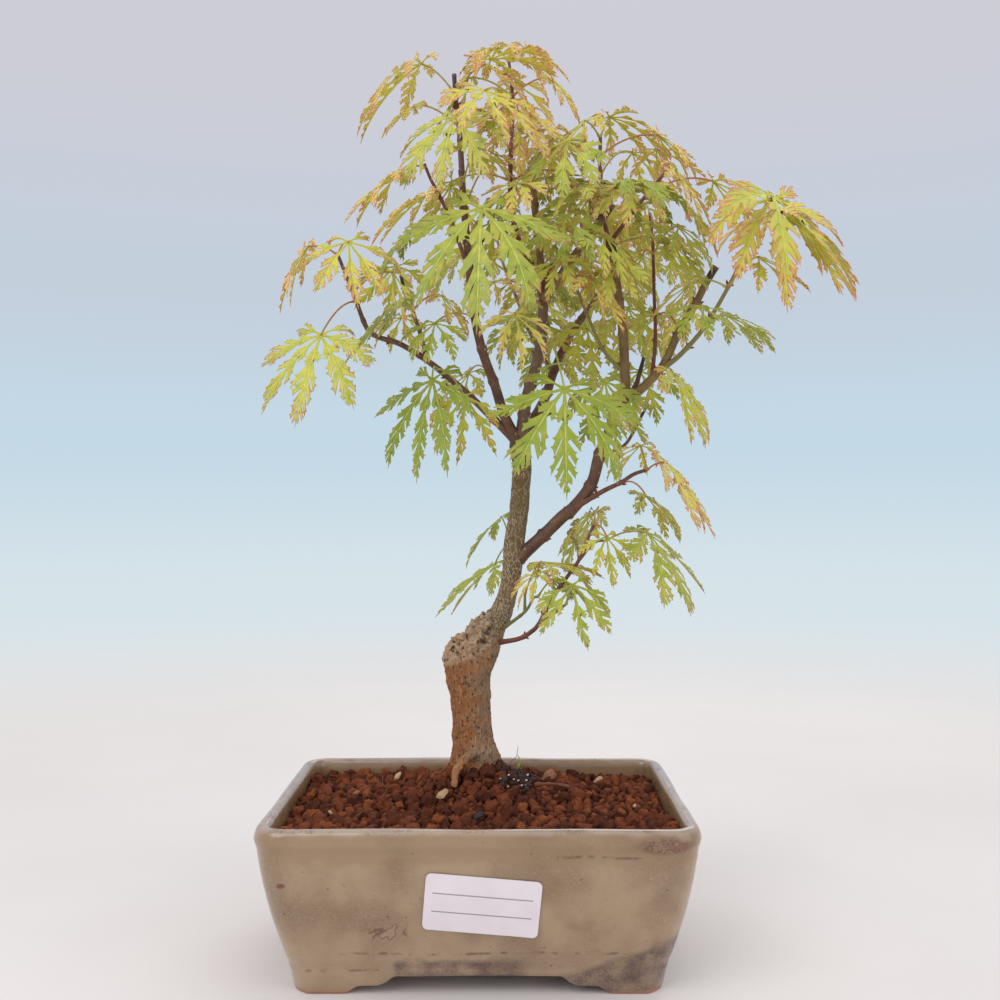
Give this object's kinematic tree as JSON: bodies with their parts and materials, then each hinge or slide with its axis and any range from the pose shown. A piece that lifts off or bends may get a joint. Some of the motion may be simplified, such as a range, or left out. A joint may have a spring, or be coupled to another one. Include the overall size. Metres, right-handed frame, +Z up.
{
  "type": "bonsai tree in a pot",
  "caption": "Young maple bonsai with deeply cut leaves, growing from an old stump in granular soil, in a rectangular glazed pot on corner feet.",
  "frame": {"origin": "on the surface it stands on, under the middle of the whole plant's bounding box", "axes": "+Z up along the height, +Y to the back of the pot, +X to the right as seen from its front"},
  "size_m": [0.2736, 0.2128, 0.438],
  "materials": {
    "glaze": "gloss",
    "soil": "matte",
    "bark": "matte",
    "leaf_grown": "satin",
    "leaf_half": "satin",
    "leaf_new": "satin",
    "label": "satin",
    "mesh": "matte",
    "wire": "satin"
  },
  "bodies": {
    "root": {"pot": "glaze", "soil": "soil", "tree": "bark", "label": "label", "drain_screen_left": "mesh", "drain_screen_right": "mesh", "screen_wire_left": "wire", "screen_wire_right": "wire", "leaf_01": "leaf_new", "leaf_02": "leaf_new", "leaf_03": "leaf_new", "leaf_04": "leaf_new", "leaf_05": "leaf_half", "leaf_06": "leaf_half", "leaf_07": "leaf_half", "leaf_08": "leaf_grown", "leaf_09": "leaf_new", "leaf_10": "leaf_grown", "leaf_11": "leaf_half", "leaf_12": "leaf_new", "leaf_13": "leaf_grown", "leaf_14": "leaf_new", "leaf_15": "leaf_grown", "leaf_16": "leaf_grown", "leaf_17": "leaf_grown", "leaf_18": "leaf_half", "leaf_19": "leaf_grown", "leaf_20": "leaf_half", "leaf_21": "leaf_half", "leaf_22": "leaf_grown", "leaf_23": "leaf_half", "leaf_24": "leaf_grown", "leaf_25": "leaf_grown", "leaf_26": "leaf_grown", "leaf_27": "leaf_grown", "leaf_28": "leaf_grown", "leaf_29": "leaf_grown", "leaf_30": "leaf_grown", "leaf_31": "leaf_grown", "leaf_32": "leaf_grown", "leaf_33": "leaf_grown", "leaf_34": "leaf_new", "leaf_35": "leaf_half", "leaf_36": "leaf_half", "leaf_37": "leaf_grown", "leaf_38": "leaf_half", "leaf_39": "leaf_grown", "leaf_40": "leaf_half", "leaf_41": "leaf_grown", "leaf_42": "leaf_grown", "leaf_43": "leaf_new", "leaf_44": "leaf_new", "leaf_45": "leaf_grown", "leaf_46": "leaf_new", "leaf_47": "leaf_grown", "leaf_48": "leaf_half", "leaf_49": "leaf_half", "leaf_50": "leaf_grown", "leaf_51": "leaf_half", "leaf_52": "leaf_grown"}
  },
  "joints": []
}
